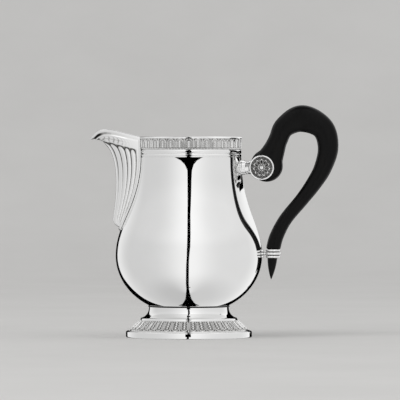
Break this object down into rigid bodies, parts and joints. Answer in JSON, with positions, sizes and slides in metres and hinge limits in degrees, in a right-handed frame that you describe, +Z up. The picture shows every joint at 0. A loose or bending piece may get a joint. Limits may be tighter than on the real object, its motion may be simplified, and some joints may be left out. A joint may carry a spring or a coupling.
{
  "type": "cream jug",
  "caption": "Pear-shaped polished silver cream jug on a spreading foot, with ornamented rim and foot bands, a fluted beak spout and a black looped handle.",
  "frame": {"origin": "on the vessel's axis, in the plane that the foot ring stands on", "axes": "+Z up along the vessel's axis, +X towards the handle and -X towards the spout's tip, Y across"},
  "size_m": [0.134, 0.079, 0.1253],
  "materials": {
    "silver": "mirror-polished silver",
    "chased_silver": "relief ornament in polished silver with darker hollows",
    "ebony": "black wood, polished to a satin sheen",
    "brass": "plain turned brass, hidden inside"
  },
  "bodies": {
    "root": {"body_shell": "silver", "rim_wire": "silver", "rim_band": "chased_silver", "neck_reed_upper": "silver", "neck_reed_lower": "silver", "spout": "silver", "spout_lip_wire": "silver", "spout_border": "silver", "foot_collar": "silver", "foot_shell": "silver", "foot_band": "chased_silver", "foot_rim": "silver", "upper_stub": "silver", "handle_hub": "silver", "hub_rivet": "brass", "rosette_front": "chased_silver", "rosette_back": "chased_silver", "handle": "ebony", "lower_boss": "silver", "lower_bead": "silver", "lower_collar": "silver", "handle_finial": "ebony", "finial_stud": "brass"}
  },
  "joints": []
}
